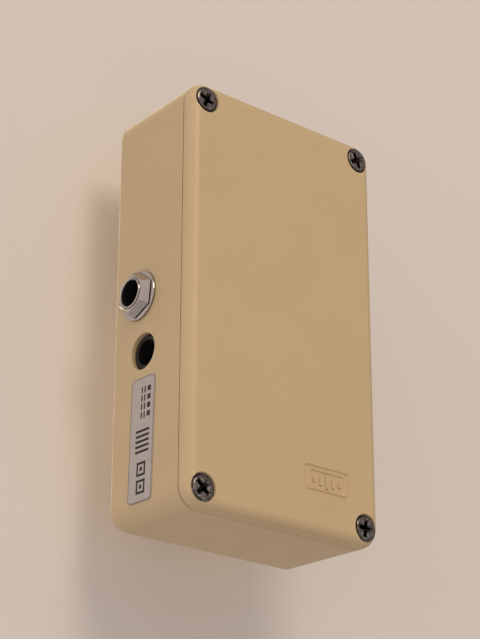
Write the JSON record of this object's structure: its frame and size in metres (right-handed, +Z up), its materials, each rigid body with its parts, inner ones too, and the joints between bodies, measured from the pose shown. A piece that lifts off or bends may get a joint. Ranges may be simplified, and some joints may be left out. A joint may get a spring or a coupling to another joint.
{
  "type": "direct injection box",
  "caption": "Compact active direct injection box in a die-cast pedal housing with jack, power and balanced sockets, a knob, a footswitch and slide switches.",
  "frame": {"origin": "middle of the base cover's outer face, on the surface the box stands on", "axes": "+X towards the instrument input's side, +Y towards the rear with the balanced output, +Z up through the control face"},
  "size_m": [0.0676, 0.1134, 0.0474],
  "materials": {
    "paint": "fine cream powder coat, satin, slight orange peel",
    "chrome": "bright nickel plate",
    "dark_steel": "black zinc plate",
    "brass": "bright spring brass",
    "black_plastic": "moulded, fine texture",
    "blue_plastic": "moulded, satin",
    "aluminium": "tumbled",
    "label_film": "silver-grey satin film",
    "board": "solder mask",
    "red_lens": "clear red, polished",
    "copper": "enamelled copper wire",
    "lead_sleeve": "soft sleeve"
  },
  "bodies": {
    "enclosure": {"enclosure_body": "paint", "base_cover": "paint", "input_jack_housing": "black_plastic", "input_jack_bushing": "chrome", "input_jack_washer": "chrome", "input_jack_nut": "chrome", "input_jack_tip_spring": "brass", "input_jack_sleeve_spring": "brass", "thru_jack_housing": "black_plastic", "thru_jack_bushing": "chrome", "thru_jack_washer": "chrome", "thru_jack_nut": "chrome", "thru_jack_tip_spring": "brass", "thru_jack_sleeve_spring": "brass", "dc_inlet_housing": "black_plastic", "dc_inlet_pin": "chrome", "dc_inlet_spring": "brass", "rating_label": "label_film", "ground_lift_switch_frame": "aluminium", "pad_switch_frame": "aluminium", "xlr_shell": "dark_steel", "xlr_insert": "black_plastic", "xlr_pin_1": "chrome", "xlr_pin_2": "chrome", "xlr_pin_3": "chrome", "xlr_lead_1": "lead_sleeve", "xlr_lead_2": "lead_sleeve", "xlr_lead_3": "lead_sleeve", "xlr_screw_left": "dark_steel", "xlr_screw_right": "dark_steel", "footswitch_body": "blue_plastic", "footswitch_terminals": "brass", "footswitch_bushing": "chrome", "footswitch_washer": "chrome", "footswitch_nut": "chrome", "level_pot_body": "aluminium", "level_pot_bushing": "brass", "level_pot_washer": "chrome", "level_pot_nut": "chrome", "led_bezel": "chrome", "status_led": "red_lens", "circuit_board": "board", "transformer_core": "dark_steel", "transformer_winding": "copper", "electrolytic_capacitor_1": "blue_plastic", "electrolytic_capacitor_2": "blue_plastic", "electrolytic_capacitor_3": "blue_plastic", "film_capacitor": "red_lens", "amplifier_chip": "black_plastic", "footswitch_ribbon": "lead_sleeve", "cover_screw_1": "dark_steel", "cover_screw_2": "dark_steel", "cover_screw_3": "dark_steel", "cover_screw_4": "dark_steel"},
    "level_knob": {"level_knob": "black_plastic", "knob_set_screw": "dark_steel", "level_pot_shaft": "aluminium"},
    "footswitch_plunger": {"footswitch_plunger": "chrome"},
    "ground_lift_slider": {"ground_lift_slider": "black_plastic"},
    "pad_slider": {"pad_slider": "black_plastic"}
  },
  "joints": [
    {"name": "level_knob_turn", "type": "hinge", "parent": "enclosure", "child": "level_knob", "pos_m": [0, 0.0275, 0.032], "axis": [0, 0, 1], "range_deg": [-150, 150]},
    {"name": "footswitch_press", "type": "slide", "parent": "enclosure", "child": "footswitch_plunger", "axis": [0, 0, -1], "range_m": [0, 0.003], "stiffness_N_per_m": 900, "springref_m": -0.002},
    {"name": "ground_lift_slide", "type": "slide", "parent": "enclosure", "child": "ground_lift_slider", "axis": [0, 1, 0], "range_m": [0, 0.003]},
    {"name": "pad_slide", "type": "slide", "parent": "enclosure", "child": "pad_slider", "axis": [0, 1, 0], "range_m": [0, 0.003]}
  ]
}
